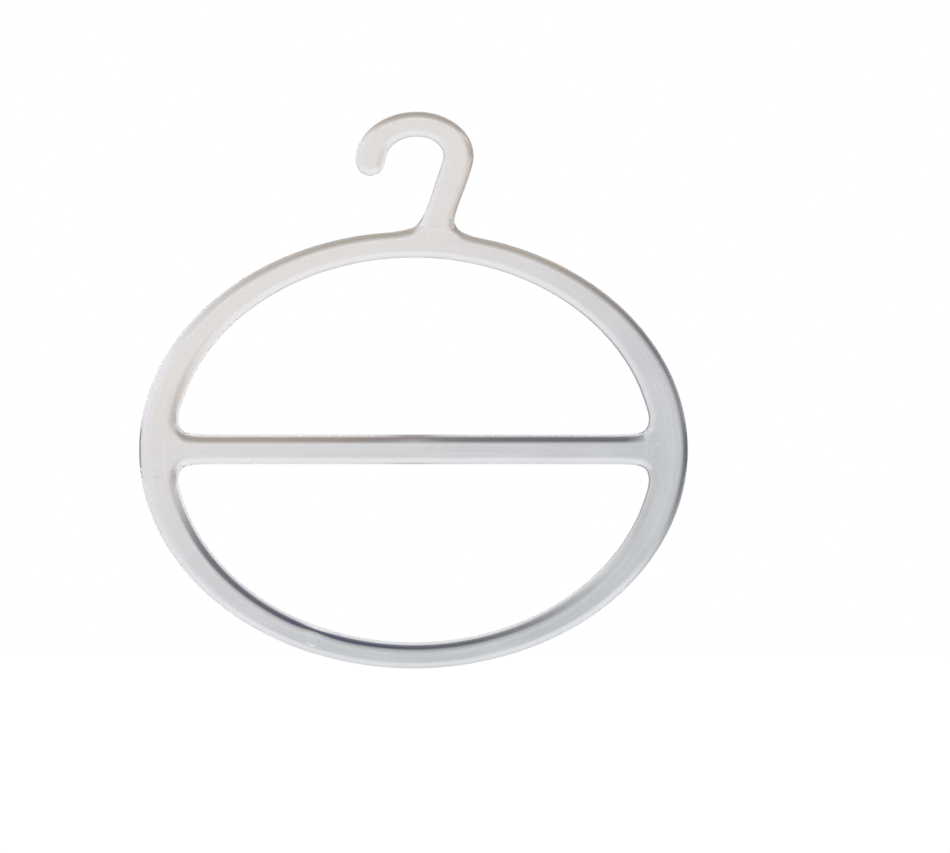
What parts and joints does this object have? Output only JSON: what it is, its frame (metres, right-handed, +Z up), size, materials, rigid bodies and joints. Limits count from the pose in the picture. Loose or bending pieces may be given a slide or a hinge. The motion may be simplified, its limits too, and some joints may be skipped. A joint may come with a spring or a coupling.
{
  "type": "scarf hanger",
  "caption": "Slim one-piece plastic hanger: an oval ring with a level crossbar that scarves loop over, and a leaning open hook that hangs it on a rail.",
  "frame": {"origin": "the rail seat: the highest point of the hook's inner edge, midway between front and back", "axes": "+Z up, with the hanger upright as it hangs; +X to the right seen from the front; the front faces -Y, and the thickness runs along Y"},
  "size_m": [0.18, 0.006, 0.1827],
  "materials": {
    "milky_plastic": "smooth moulded gloss, milky white and faintly see-through, with a fine parting line round the edge"
  },
  "bodies": {
    "root": {"hook_crook": "milky_plastic", "hook_stem": "milky_plastic", "hook_root": "milky_plastic", "ring_upper_left": "milky_plastic", "ring_upper_right": "milky_plastic", "ring_lower_left": "milky_plastic", "ring_lower_right": "milky_plastic", "left_junction": "milky_plastic", "right_junction": "milky_plastic", "crossbar": "milky_plastic"}
  },
  "joints": []
}
